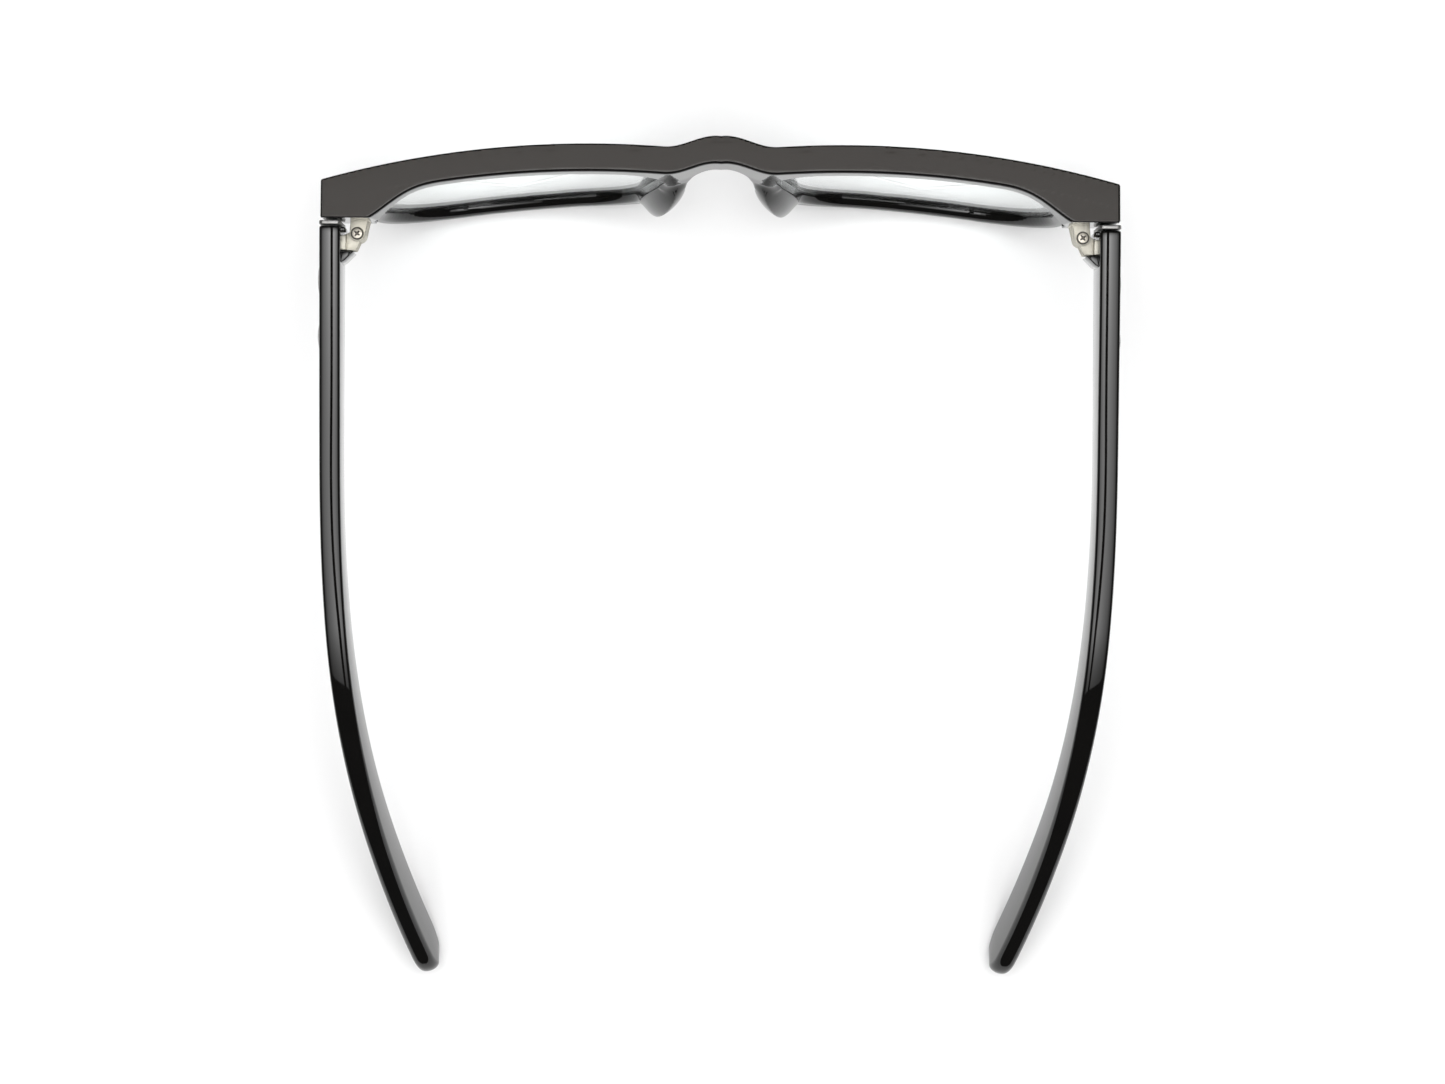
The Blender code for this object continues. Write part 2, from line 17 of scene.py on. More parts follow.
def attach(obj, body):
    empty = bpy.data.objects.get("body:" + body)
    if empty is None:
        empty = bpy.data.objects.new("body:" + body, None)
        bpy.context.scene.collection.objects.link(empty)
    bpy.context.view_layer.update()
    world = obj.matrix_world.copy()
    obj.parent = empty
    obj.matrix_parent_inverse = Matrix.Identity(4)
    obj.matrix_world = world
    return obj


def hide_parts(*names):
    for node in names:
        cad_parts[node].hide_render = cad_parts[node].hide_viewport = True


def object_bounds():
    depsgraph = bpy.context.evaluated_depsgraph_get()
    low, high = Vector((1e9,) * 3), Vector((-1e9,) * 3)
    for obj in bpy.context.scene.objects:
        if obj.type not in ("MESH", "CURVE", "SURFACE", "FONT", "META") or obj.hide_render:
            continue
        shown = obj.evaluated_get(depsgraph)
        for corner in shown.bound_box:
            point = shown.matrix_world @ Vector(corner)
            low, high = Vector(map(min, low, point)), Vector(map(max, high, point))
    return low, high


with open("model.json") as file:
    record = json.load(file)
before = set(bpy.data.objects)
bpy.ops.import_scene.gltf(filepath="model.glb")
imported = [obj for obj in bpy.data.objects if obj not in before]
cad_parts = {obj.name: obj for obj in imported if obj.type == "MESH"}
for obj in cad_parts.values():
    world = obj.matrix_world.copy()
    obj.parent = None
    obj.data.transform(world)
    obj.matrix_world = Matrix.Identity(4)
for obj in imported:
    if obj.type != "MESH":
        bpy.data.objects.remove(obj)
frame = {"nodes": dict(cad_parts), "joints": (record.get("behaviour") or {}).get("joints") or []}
cad_low, cad_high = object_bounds()

MM = 0.001
HINGE = Vector(frame["joints"][0]["pos_m"]) / MM
SIDES = (("left", 1), ("right", -1))

# Front, in its own upright frame: x across, depth rearward from the bridge's peak, height up.
FRONT_TILT = math.radians(5.2)
FRONT_HEIGHT = 45.5
FRONT_HALF_WIDTH = 72.35
FACE_RADIUS = 179.0
FACE_APEX_X = 23.1
FACE_APEX_DEPTH = 1.35
BRIDGE_RISE = 3.0
BRIDGE_HALF_WIDTH = 10.5
BRIDGE_UNDERSIDE = 38.2
BRIDGE_TO_HINGE = 17.7
BROW_THICKNESS = 5.15
LOWER_RIM_THICKNESS = 4.65
ENDPIECE_START_X = 48.0
ENDPIECE_FULL_X = 67.0
ENDPIECE_CURVE_POWER = 2.5
ENDPIECE_DEPTH = 16.4
ENDPIECE_BOTTOM = 30.0
ENDPIECE_TO_HINGE = 2.5
FACE_EDGE = 0.25
REAR_EDGE = 0.62
LOWER_REAR_EDGE = 1.5
GRID_STEP = 0.34

LENS_INSET = 1.4
LENS_THICKNESS = 1.9
LENS_GRIP = 0.5

PAD_CENTRE = (10.5, 21.2)
PAD_SIZE = (3.2, 3.7, 10.6)
PAD_POINT = 1.35
PAD_SLOPE = math.radians(14.0)
PAD_BLEND = 2.1

# Temple, measured rearward from the hinge axis.
OUTER_FACE = 6.7
TEMPLE_THICKNESS = 3.8
TEMPLE_START = -1.15
TEMPLE_CENTRE_Z = 37.8
TEMPLE_SLOPE = math.radians(2.4)
BEND_START = 72.0
BEND_RADIUS = 70.0
BEND_SLOPE = math.radians(35.0)
BOW_START = 36.0
BOW_REACH = 95.0
BOW_DROP = 15.0
BOW_POWER = 2.5
FRONT_END_HEIGHT = 13.6
WAIST_HEIGHT = 9.6
PADDLE_HEIGHT = 11.6
TIP_ROLL = math.radians(12.0)
TIP_CENTRE_Z = 5.9
TIP_TRIM = 0.22
TEMPLE_EDGE = 0.5
TIP_EDGE = 1.7
TIP_END_LENGTH = 2.3
CROWN = 0.042
CROWN_OFFSETS = (0.52, 0.78)

# Hinge and trim.
GAP = 0.3
INNER_FACE = OUTER_FACE - TEMPLE_THICKNESS
KNUCKLE_COUNT = 5
KNUCKLE_THICKNESS = 1.3
BARREL_RADIUS = 1.4
SCREW_HEAD_RADIUS = 1.0
STACK = KNUCKLE_COUNT * KNUCKLE_THICKNESS + (KNUCKLE_COUNT - 1) * GAP
STACK_LOW = HINGE.z - STACK / 2
STACK_HIGH = HINGE.z + STACK / 2
END_PLATE = 0.75
END_PLATE_PROUD = 0.05


# ---------------------------------------------------------------- shape helpers

def smoothstep(low, high, value):
    """Ease from 0 at low to 1 at high, for numbers or arrays."""
    t = np.clip((value - low) / (high - low), 0.0, 1.0)
    return t * t * (3.0 - 2.0 * t)


def soft_min(a, b, blend):
    """Union of two distance fields with a fillet."""
    h = np.clip(0.5 + 0.5 * (b - a) / blend, 0.0, 1.0)
    return b + (a - b) * h - blend * h * (1.0 - h)


def round_max(a, b, radius):
    """Intersection of two distance fields with a rounded edge."""
    outside = np.sqrt(np.maximum(a + radius, 0.0) ** 2 + np.maximum(b + radius, 0.0) ** 2)
    return np.minimum(np.maximum(a, b), -radius) + outside


def rounded(corners, steps):
    """Turn (x, y, radius) corners of a closed outline into points with round corners."""
    points = []
    for index, (x, y, radius) in enumerate(corners):
        here = Vector((x, y))
        before = Vector(corners[index - 1][:2]) - here
        after = Vector(corners[(index + 1) % len(corners)][:2]) - here
        if radius == 0.0:
            points.append((x, y))
            continue
        half = before.angle(after) / 2
        reach = radius / math.tan(half)
        middle = here + (before.normalized() + after.normalized()).normalized() * radius / math.sin(half)
        start = here + before.normalized() * reach - middle
        sweep = start.angle_signed(here + after.normalized() * reach - middle)
        for step in range(steps + 1):
            spoke = start.copy()
            spoke.rotate(Matrix.Rotation(-sweep * step / steps, 2))
            points.append(tuple(middle + spoke))
    return points


def outline_distance(outline, x, z):
    """Signed distance, negative inside, of points (x, z) from a closed outline."""
    shape = np.broadcast(x, z).shape
    nearest = np.full(shape, np.inf)
    inside = np.zeros(shape, bool)
    for (ax, az), (bx, bz) in zip(outline, outline[1:] + outline[:1]):
        ex = bx - ax
        ez = bz - az
        along = np.clip(((x - ax) * ex + (z - az) * ez) / (ex * ex + ez * ez), 0.0, 1.0)
        nearest = np.minimum(nearest, (x - ax - along * ex) ** 2 + (z - az - along * ez) ** 2)
        if ez:
            inside ^= ((az > z) != (bz > z)) & (x < ax + (z - az) * ex / ez)
    return np.where(inside, -1.0, 1.0) * np.sqrt(nearest)


def field_mesh(field, low, high, step):
    """Vertices, quads and normals of the surface where field(x, y, z) is zero inside a box."""
    axes = [np.arange(a, b + step, step) for a, b in zip(low, high)]
    x, y, z = np.meshgrid(*axes, indexing="ij", sparse=True)
    inside = field(x, y, z) < 0.0
    nx, ny, nz = (size - 1 for size in inside.shape)
    count = np.zeros((nx, ny, nz), np.int8)
    for i, j, k in itertools.product((0, 1), repeat=3):
        count += inside[i:nx + i, j:ny + j, k:nz + k]
    crossed = (count > 0) & (count < 8)
    number = np.full(crossed.shape, -1)
    number[crossed] = np.arange(crossed.sum())
    places = np.argwhere(crossed)
    points = np.stack([axes[a][places[:, a]] + step / 2 for a in range(3)], axis=1)

    quads = []
    for axis in range(3):
        u, v = (axis + 1) % 3, (axis + 2) % 3
        moved = np.moveaxis(inside, (axis, u, v), (0, 1, 2))
        cells = np.moveaxis(number, (axis, u, v), (0, 1, 2))
        first = moved[:-1, 1:-1, 1:-1]
        second = moved[1:, 1:-1, 1:-1]
        for sign in (True, False):
            i, j, k = np.nonzero((first != second) & (first == sign))
            around = [cells[i, j, k], cells[i, j + 1, k], cells[i, j + 1, k + 1], cells[i, j, k + 1]]
            quads.append(np.stack(around if sign else around[::-1], axis=1))
    quads = np.concatenate(quads)

    def normals_at(places, size=0.02):
        parts = []
        for axis in range(3):
            shift = np.zeros(3)
            shift[axis] = size
            ahead = places + shift
            behind = places - shift
            parts.append((field(*ahead.T) - field(*behind.T)) / (2 * size))
        return np.stack(parts, axis=1)

    edges = np.unique(np.sort(np.concatenate([quads[:, [a, (a + 1) % 4]] for a in range(4)]), axis=1), axis=0)
    degree = np.bincount(edges.ravel(), minlength=len(points))[:, None]
    for turn in range(5):
        slope = normals_at(points)
        move = field(*points.T)[:, None] * slope / np.maximum((slope ** 2).sum(1, keepdims=True), 0.05)
        points = points - np.clip(move, -step, step)
        if turn in (1, 2):
            total = np.zeros_like(points)
            np.add.at(total, edges[:, 0], points[edges[:, 1]])
            np.add.at(total, edges[:, 1], points[edges[:, 0]])
            points = 0.4 * points + 0.6 * total / degree
    slope = normals_at(points)
    return points, quads, slope / np.linalg.norm(slope, axis=1, keepdims=True)


def new_object(name, mesh):
    """Object of a mesh in millimetres, scaled to metres."""
    mesh.transform(Matrix.Scale(MM, 4))
    item = bpy.data.objects.new(name, mesh)
    bpy.context.scene.collection.objects.link(item)
    return item


def mesh_of(vertices, faces, sharp_deg=35.0):
    """Smooth mesh whose faces point outward."""
    work = bmesh.new()
    made = [work.verts.new(vertex) for vertex in vertices]
    for face in faces:
        work.faces.new([made[index] for index in face])
    bmesh.ops.remove_doubles(work, verts=work.verts, dist=1e-5)
    bmesh.ops.recalc_face_normals(work, faces=work.faces)
    mesh = bpy.data.meshes.new("piece")
    work.to_mesh(mesh)
    work.free()
    mesh.shade_smooth()
    mesh.set_sharp_from_angle(angle=math.radians(sharp_deg))
    return mesh


def loft(rings, sharp_deg=35.0):
    """Closed mesh through rings with equal numbers of points."""
    size = len(rings[0])
    vertices = [point for ring in rings for point in ring]
    faces = []
    for row in range(len(rings) - 1):
        for index in range(size):
            after = (index + 1) % size
            faces.append((row * size + index, row * size + after,
                          (row + 1) * size + after, (row + 1) * size + index))
    faces.append(tuple(range(size)))
    faces.append(tuple((len(rings) - 1) * size + index for index in range(size)))
    return mesh_of(vertices, faces, sharp_deg)


def prism(outline, low, high, bevel, place=lambda a, b, c: (a, b, c)):
    """Plate of an (a, b) outline from c = low to c = high with every edge bevelled."""
    mesh = loft([[place(a, b, c) for a, b in outline] for c in (low, high)])
    work = bmesh.new()
    work.from_mesh(mesh)
    hard = [edge for edge in work.edges if edge.calc_face_angle(0.0) > math.radians(40)]
    bmesh.ops.bevel(work, geom=hard, offset=bevel, segments=3, profile=0.5, affect="EDGES")
    bmesh.ops.recalc_face_normals(work, faces=work.faces)
    work.to_mesh(mesh)
    work.free()
    mesh.shade_smooth()
    mesh.set_sharp_from_angle(angle=math.radians(50))
    return mesh


def joined(meshes):
    """One mesh that holds several closed shells."""
    work = bmesh.new()
    for mesh in meshes:
        work.from_mesh(mesh)
    whole = bpy.data.meshes.new("piece")
    work.to_mesh(whole)
    work.free()
    whole.shade_smooth()
    whole.set_sharp_from_angle(angle=math.radians(50))
    return whole


def mirrored(mesh):
    """Copy of a mesh reflected from the left side to the right side."""
    copy = mesh.copy()
    copy.transform(Matrix.Scale(-1, 4, (1, 0, 0)))
    copy.flip_normals()
    return copy


def arc(radius, start_deg, end_deg, steps, centre=(0.0, 0.0)):
    """Points on a circle from one angle to another."""
    angles = np.radians(np.linspace(start_deg, end_deg, steps + 1))
    return [(centre[0] + radius * math.cos(a), centre[1] + radius * math.sin(a)) for a in angles]


# ---------------------------------------------------------------- front and lenses

LENS_OUTLINE = rounded([
    (16.9, 9.0, 13.0),
    (38.0, 3.2, 60.0),
    (61.3, 3.2, 14.5),
    (63.7, 41.5, 7.0),
    (7.7, 41.5, 8.0),
], steps=20)

FRONT_OUTLINE = rounded([
    (-20.0, BRIDGE_UNDERSIDE, 0.0),
    (3.9, BRIDGE_UNDERSIDE, 5.0),
    (13.0, 6.5, 14.0),
    (37.0, -0.35, 64.0),
    (63.8, -0.35, 17.0),
    (66.8, ENDPIECE_BOTTOM, 3.0),
    (FRONT_HALF_WIDTH - 0.5, ENDPIECE_BOTTOM, 1.2),
    (FRONT_HALF_WIDTH, FRONT_HEIGHT, 0.35),
    (-20.0, FRONT_HEIGHT, 0.0),
], steps=16)

FRONT_SHIFT_Y = HINGE.y - BRIDGE_TO_HINGE + FRONT_HEIGHT * math.sin(FRONT_TILT)


def base_curve(x):
    """Depth of the face and the lens along each eye's base curve."""
    offset = np.abs(x) - FACE_APEX_X
    return FACE_APEX_DEPTH + FACE_RADIUS - np.sqrt(FACE_RADIUS ** 2 - offset ** 2)


def face_depth(x):
    """Depth of the front's face: the base curves and a raised bridge."""
    angle = np.clip(np.pi * x / (2 * BRIDGE_HALF_WIDTH), -np.pi / 2, np.pi / 2)
    return base_curve(x) - BRIDGE_RISE * np.cos(angle) ** 2


def slab(outline, ahead, behind, rear_edge):
    """Rounded solid of an outline distance between two depth distances."""
    face = round_max(outline, ahead, FACE_EDGE)
    rear = round_max(outline, behind, rear_edge)
    return np.maximum(face, rear)


def pad_field(side, depth, height):
    """Nose pad: a long fin with a blunt point, which leans with the rim."""
    x = side - PAD_CENTRE[0]
    z = height - PAD_CENTRE[1]
    y = depth - face_depth(PAD_CENTRE[0]) - LOWER_RIM_THICKNESS - 0.3
    across = (x * math.cos(PAD_SLOPE) + z * math.sin(PAD_SLOPE)) / PAD_SIZE[0]
    along = (-x * math.sin(PAD_SLOPE) + z * math.cos(PAD_SLOPE)) / PAD_SIZE[2]
    out = y / PAD_SIZE[1]
    blade = (np.abs(across) ** PAD_POINT + np.abs(out) ** PAD_POINT) ** (1.0 / PAD_POINT)
    reach = np.sqrt(blade ** 2 + along ** 2 + 0.02)
    squares = (across / PAD_SIZE[0]) ** 2 + (out / PAD_SIZE[1]) ** 2 + (along / PAD_SIZE[2]) ** 2
    slope = np.sqrt(squares) + 1e-9
    return reach * (reach - 1.0) / slope


def front_field(x, depth, height):
    """Distance field of the front: rims, brow, endpieces and nose pads."""
    side = np.abs(x)
    outline = outline_distance(FRONT_OUTLINE, side, height)
    outline = np.maximum(outline, -outline_distance(LENS_OUTLINE, side, height))
    face = face_depth(side)
    rear = face + LOWER_RIM_THICKNESS + (BROW_THICKNESS - LOWER_RIM_THICKNESS) * height / FRONT_HEIGHT
    rear_edge = LOWER_REAR_EDGE + (REAR_EDGE - LOWER_REAR_EDGE) * smoothstep(22.0, 36.0, height)
    rims = slab(outline, face - depth, depth - rear, rear_edge)

    ease = smoothstep(ENDPIECE_START_X, ENDPIECE_FULL_X, side)
    grow = ease ** ENDPIECE_CURVE_POWER
    t = np.clip((side - ENDPIECE_START_X) / (ENDPIECE_FULL_X - ENDPIECE_START_X), 0.0, 1.0)
    steep = 6.0 * (ENDPIECE_DEPTH - rear) / (ENDPIECE_FULL_X - ENDPIECE_START_X) * t * (1.0 - t)
    steep = steep * ENDPIECE_CURVE_POWER * ease ** (ENDPIECE_CURVE_POWER - 1.0)
    swell = (depth - rear - (ENDPIECE_DEPTH - rear) * grow) / np.sqrt(1.0 + steep ** 2)
    endpiece = slab(np.maximum(outline, ENDPIECE_BOTTOM - height), face + 1.0 - depth, swell, REAR_EDGE)
    fillet = 0.8 - 0.78 * smoothstep(31.0, 37.0, height)
    body = soft_min(rims, endpiece, fillet)
    body = soft_min(body, pad_field(side, depth, height), PAD_BLEND)

    sine = math.sin(FRONT_TILT)
    cosine = math.cos(FRONT_TILT)
    world_y = depth * cosine - height * sine + FRONT_SHIFT_Y
    world_z = depth * sine + height * cosine
    body = round_max(body, world_y - (HINGE.y - ENDPIECE_TO_HINGE), 0.15)
    return round_max(body, 0.02 - world_z, 0.4)


def make_front():
    """Fine mesh of the front, with exact normals."""
    half = FRONT_HALF_WIDTH + 1.0
    low = (-half, -1.2, -1.2)
    high = (half, ENDPIECE_DEPTH + 1.6, FRONT_HEIGHT + 1.0)
    points, quads, normals = field_mesh(front_field, low, high, GRID_STEP)
    mesh = bpy.data.meshes.new("front")
    mesh.from_pydata(points.tolist(), [], quads.tolist())
    mesh.shade_smooth()
    mesh.normals_split_custom_set_from_vertices(normals.tolist())
    return mesh


def make_lens():
    """Left lens: rings of its outline on the front and rear curves, closed by its edge."""
    count = len(LENS_OUTLINE)
    centre = np.mean(np.array(LENS_OUTLINE), axis=0)
    shares = [0.001, 0.12, 0.25, 0.38, 0.5, 0.62, 0.73, 0.83, 0.91, 0.97]
    rim = []
    for index in range(count):
        before = Vector(LENS_OUTLINE[index - 1])
        after = Vector(LENS_OUTLINE[(index + 1) % count])
        along = (after - before).normalized()
        here = LENS_OUTLINE[index]
        rim.append((here[0] + along.y * LENS_GRIP, here[1] - along.x * LENS_GRIP))
    rim = np.array(rim)
    rings = []
    for inset, order in ((LENS_INSET, shares + [1.0]), (LENS_INSET + LENS_THICKNESS, [1.0] + shares[::-1])):
        for share in order:
            ring = centre + (rim - centre) * share
            rings.append([(x, base_curve(x) + inset, z) for x, z in ring])
    return loft(rings)


# ---------------------------------------------------------------- temples

def temple_shape():
    """Centreline of the left temple, the tip's centre along it and the tip's radius."""
    bend_s = BEND_START * math.cos(TEMPLE_SLOPE)
    bend_z = TEMPLE_CENTRE_Z - BEND_START * math.sin(TEMPLE_SLOPE)
    bend_length = BEND_RADIUS * (BEND_SLOPE - TEMPLE_SLOPE)
    end_s = bend_s + BEND_RADIUS * (math.sin(BEND_SLOPE) - math.sin(TEMPLE_SLOPE))
    end_z = bend_z - BEND_RADIUS * (math.cos(TEMPLE_SLOPE) - math.cos(BEND_SLOPE))
    tip_centre = BEND_START + bend_length + (end_z - TIP_CENTRE_Z) / math.sin(BEND_SLOPE)

    def at(along):
        if along <= BEND_START:
            slope = TEMPLE_SLOPE
            return along * math.cos(slope), TEMPLE_CENTRE_Z - along * math.sin(slope), slope
        if along <= BEND_START + bend_length:
            slope = TEMPLE_SLOPE + (along - BEND_START) / BEND_RADIUS
            s = bend_s + BEND_RADIUS * (math.sin(slope) - math.sin(TEMPLE_SLOPE))
            return s, bend_z - BEND_RADIUS * (math.cos(TEMPLE_SLOPE) - math.cos(slope)), slope
        run = along - BEND_START - bend_length
        return end_s + run * math.cos(BEND_SLOPE), end_z - run * math.sin(BEND_SLOPE), BEND_SLOPE

    return at, tip_centre - TIP_TRIM, PADDLE_HEIGHT / 2


PATH, TIP_CENTRE, TIP_RADIUS = temple_shape()


def outside_x(s):
    """Distance of the temple's outer face from the hinge axis, s behind the axis."""
    return OUTER_FACE - BOW_DROP * max(0.0, (s - BOW_START) / BOW_REACH) ** BOW_POWER


def section_frame(along):
    """Centre, thickness direction and height direction of a section of the left temple."""
    s, z, slope = PATH(along)
    lean = outside_x(s + 0.5) - outside_x(s - 0.5)
    outward = Vector((1.0, -lean, 0.0)).normalized()
    pitch = slope - TEMPLE_SLOPE
    up = Vector((lean * math.sin(pitch), math.sin(pitch), math.cos(pitch))).normalized()
    roll = TIP_ROLL * float(smoothstep(BOW_START, TIP_CENTRE, along))
    turn = Matrix.Rotation(roll, 3, up.cross(outward))
    centre = Vector((outside_x(s), s, z)) - outward * TEMPLE_THICKNESS / 2
    return centre, turn @ outward, turn @ up


def section_size(along):
    """Thickness and height of the temple: deep at the hinge, slim at the bend, a round paddle at the tip."""
    height = FRONT_END_HEIGHT + (WAIST_HEIGHT - FRONT_END_HEIGHT) * float(smoothstep(0.0, BEND_START, along))
    height += (PADDLE_HEIGHT - WAIST_HEIGHT) * float(smoothstep(BEND_START + 20.0, TIP_CENTRE, along))
    if along > TIP_CENTRE:
        height *= math.sqrt(max(0.0, 1.0 - ((along - TIP_CENTRE) / TIP_RADIUS) ** 2))
    ending = max(0.0, (along - TIP_CENTRE - TIP_RADIUS + TIP_END_LENGTH) / TIP_END_LENGTH)
    return TEMPLE_THICKNESS * math.sqrt(max(0.0, 1.0 - ending ** 2)), height


def temple_section(along):
    """Closed outline of a section: flat sides, round edges, crowned top and bottom."""
    width, height = section_size(along)
    a = width / 2
    b = height / 2
    softer = (TIP_EDGE - TEMPLE_EDGE) * float(smoothstep(BEND_START, TIP_CENTRE - TIP_RADIUS, along))
    radius = min(TEMPLE_EDGE + softer, 0.48 * width, 0.48 * height)
    corners = [(-a, -b, radius), (a, -b, radius), (a, b, radius), (-a, b, radius)]
    steps = 7
    points = rounded(corners, steps)
    spaced = []
    for index, point in enumerate(points):
        spaced.append(point)
        after = points[(index + 1) % len(points)]
        if index in (steps, 3 * steps + 2):
            for share in (0.14, 0.28, 0.42, 0.56, 0.7, 0.85):
                spaced.append((point[0] + (after[0] - point[0]) * share, point[1]))
    start, end = CROWN_OFFSETS
    offset = start + (end - start) * float(smoothstep(20.0, 60.0, along))
    shaped = []
    for across, up in spaced:
        sink = CROWN * (across - offset) ** 2 * (width / TEMPLE_THICKNESS)
        shaped.append((across, up - math.copysign(sink, up) * min(1.0, abs(up) / max(b, 0.01))))
    return shaped


def make_temple():
    """Left temple: a fine loft with a lip ahead of the hinge and a ramp behind it."""
    stations = [TEMPLE_START, TEMPLE_START + 0.12, TEMPLE_START + 0.4]
    stations += list(np.linspace(TEMPLE_START + 1.6, BEND_START, 42))
    stations += list(np.linspace(BEND_START + 1.5, TIP_CENTRE, 46))
    stations += [TIP_CENTRE + TIP_RADIUS * math.sin(math.radians(angle)) for angle in range(6, 90, 6)]
    stations += [TIP_CENTRE + TIP_RADIUS * math.sin(math.radians(88.0))]
    rings = []
    for place, along in enumerate(stations):
        centre, outward, up = section_frame(along)
        inset = (0.88, 0.965, 1.0)[place] if place < 3 else 1.0
        shape = temple_section(along)
        a = max(abs(point[0]) for point in shape)
        b = max(abs(point[1]) for point in shape)
        trim = (1.0 - inset) * 1.6
        narrow = 1 - trim / max(a, 0.1)
        shorten = 1 - trim / max(b, 0.1)
        shape = [(across * narrow, high * shorten) for across, high in shape]
        rings.append([tuple(centre + outward * across + up * high) for across, high in shape])
    blade = loft(rings, sharp_deg=60.0)

    low = STACK_LOW - 2 * GAP
    high = STACK_HIGH + 2 * GAP
    buried = INNER_FACE + 0.6
    lip = prism([(INNER_FACE - 0.7, TEMPLE_START), (buried, TEMPLE_START), (buried, -0.35),
                 (INNER_FACE - 0.7, -0.35)], low, high, 0.2)
    ramp_start = 3.3
    ramp = prism([(buried, ramp_start), (buried, ramp_start + 2.4), (2.2, ramp_start + 1.6),
                  (1.4, ramp_start + 0.8), (0.6, ramp_start)], low, high, 0.2)
    return joined([blade, lip, ramp])


def make_end_plate():
    """Metal strip on the temple's front end, round-cornered like the temple."""
    front = TEMPLE_START - GAP - END_PLATE
    low = TEMPLE_CENTRE_Z - FRONT_END_HEIGHT / 2 - 0.1
    high = TEMPLE_CENTRE_Z + FRONT_END_HEIGHT / 2 + 0.1
    outer = OUTER_FACE + END_PLATE_PROUD
    corners = [(INNER_FACE, low, 0.5), (outer, low, 0.7), (outer, high, 0.7), (INNER_FACE, high, 0.5)]
    outline = rounded(corners, steps=6)
    return prism(outline, front, front + END_PLATE, 0.14, lambda a, b, c: (a, c, b))


def make_stud(place, length, width, tiers, power):
    """Ornament on the outer face: stacked (scale, lift) outlines between an oval and a lozenge."""
    centre, outward, _ = section_frame(place)
    centre = centre + outward * TEMPLE_THICKNESS / 2
    count = 72
    rings = []
    for scale, lift in tiers:
        ring = []
        for index in range(count):
            angle = 2 * math.pi * index / count
            a = math.cos(angle)
            b = math.sin(angle)
            reach = scale / (abs(a) ** power + abs(b) ** power) ** (1.0 / power)
            ring.append((centre.x + lift, centre.y + reach * a * length / 2,
                         centre.z + reach * b * width / 2))
        rings.append(ring)
    return loft(rings, sharp_deg=40.0)


def make_front_stud():
    """Oval domed stud."""
    tiers = [(0.9, -0.5), (0.96, 0.0), (1.0, 0.12)]
    tiers += [(math.cos(math.radians(t)), 0.12 + 0.56 * math.sin(math.radians(t))) for t in range(12, 90, 11)]
    return make_stud(8.3, 6.4, 3.4, tiers + [(0.02, 0.68)], 2.0)


def make_rear_stud():
    """Low lozenge stud with sloping facets."""
    tiers = [(0.9, -0.5), (0.97, 0.0), (1.0, 0.1), (0.985, 0.22), (0.6, 0.5), (0.3, 0.66), (0.02, 0.69)]
    return make_stud(18.5, 6.9, 4.2, tiers, 1.15)


# ---------------------------------------------------------------- hinge

def knuckles(first, outline):
    """Every second knuckle plate, with eased edges and no bore: the screw runs through solid metal."""
    pitch = KNUCKLE_THICKNESS + GAP
    return [prism(outline, STACK_LOW + index * pitch, STACK_LOW + index * pitch + KNUCKLE_THICKNESS, 0.1)
            for index in range(first, KNUCKLE_COUNT, 2)]


def make_front_leaf():
    """Left front leaf: an anchored plate and three knuckles that narrow to the barrel."""
    rear = -ENDPIECE_TO_HINGE
    outline = [(1.2, rear - 0.5), (-2.1, rear - 0.5)] + arc(BARREL_RADIUS, -185.0, -365.0, 32)
    base = prism([(-2.1, rear - 1.5), (1.2, rear - 1.5), (1.2, rear + 0.12), (-2.1, rear + 0.12)],
                 STACK_LOW - 0.1, STACK_HIGH + 0.1, 0.06)
    return joined([base] + knuckles(0, outline[::-1]))


def make_temple_leaf():
    """Left temple leaf: a plate against the temple and two knuckles on the barrel."""
    far = INNER_FACE - GAP / 3
    outline = [(far, 3.0), (0.3, 3.0)] + arc(BARREL_RADIUS, 110.0, 345.0, 40) + [(far, 0.3)]
    plate = prism([(far - 0.75, 0.3), (far + 0.3, 0.3), (far + 0.3, 3.0), (far - 0.75, 3.0)],
                  STACK_LOW, STACK_HIGH, 0.1)
    return joined([plate] + knuckles(1, outline))


def recess(x, y):
    """Depth of the cross recess in the screw's head."""
    short = np.minimum(np.abs(x), np.abs(y))
    long = np.maximum(np.abs(x), np.abs(y))
    inside = np.minimum(0.15 - short, 0.62 - long)
    middle = 0.34 - (np.abs(x) + np.abs(y)) * 0.75
    return 0.30 * smoothstep(0.0, 0.10, np.maximum(inside, middle))


